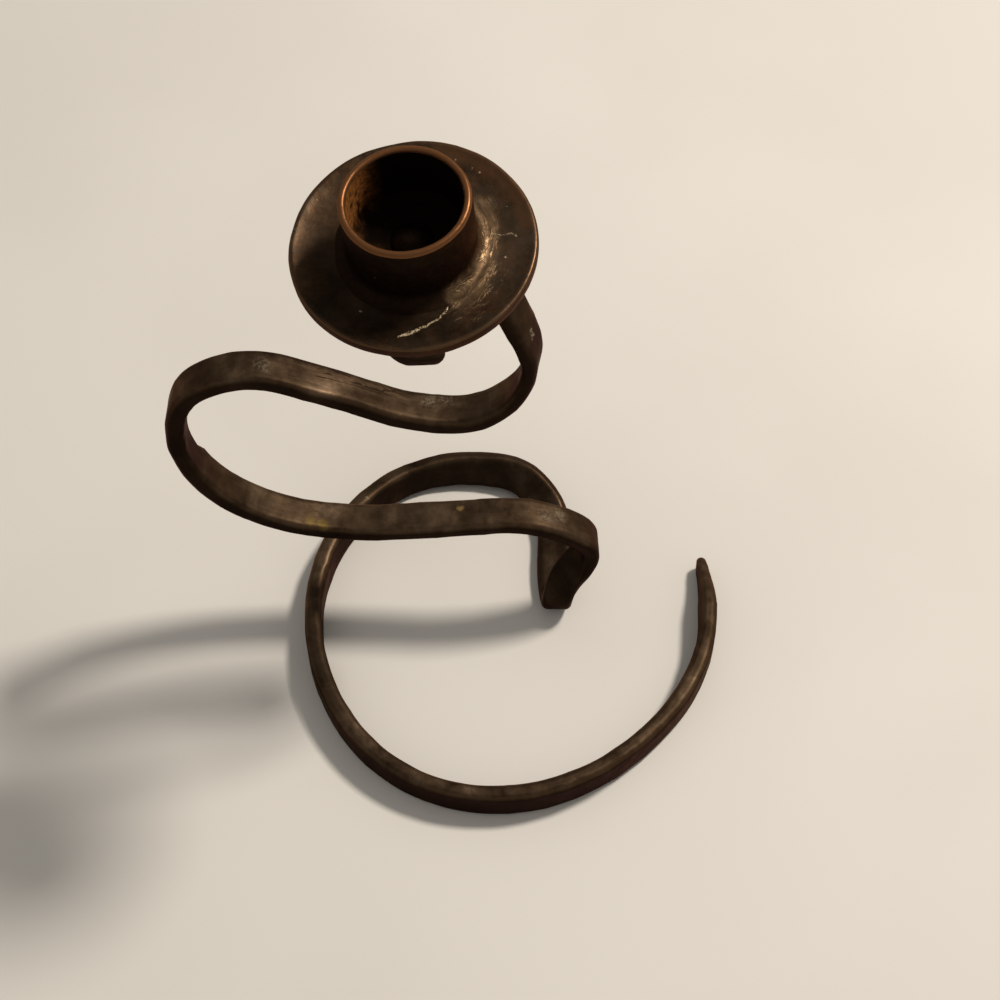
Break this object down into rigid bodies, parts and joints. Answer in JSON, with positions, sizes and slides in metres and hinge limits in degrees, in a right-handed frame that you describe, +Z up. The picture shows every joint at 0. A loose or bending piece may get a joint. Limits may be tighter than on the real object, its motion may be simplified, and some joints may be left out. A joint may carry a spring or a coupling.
{
  "type": "candle holder",
  "caption": "Forged flat bar coiled into an open foot ring and folded up as a serpentine stem, carrying a round drip pan with an upright candle socket.",
  "frame": {"origin": "middle of the bounding box in plan, on the surface the holder stands on", "axes": "+Z up from the foot, +X towards the tail of the foot ring, +Y to the back, so the stem's folds lie in the XZ plane"},
  "size_m": [0.1352, 0.1056, 0.1648],
  "materials": {
    "forged_iron": "hammered dark brown-black forged iron, waxed satin, worn coppery on the edges",
    "pan_iron": "dark brown iron plate with a pale wax and rust patch and a bright worn rim",
    "socket_iron": "dark brown iron tube, coppery worn lip, rusty inside",
    "rivet_iron": "dark peened iron"
  },
  "bodies": {
    "root": {"forged_bar": "forged_iron", "drip_pan": "pan_iron", "candle_socket": "socket_iron", "rivet": "rivet_iron"}
  },
  "joints": []
}
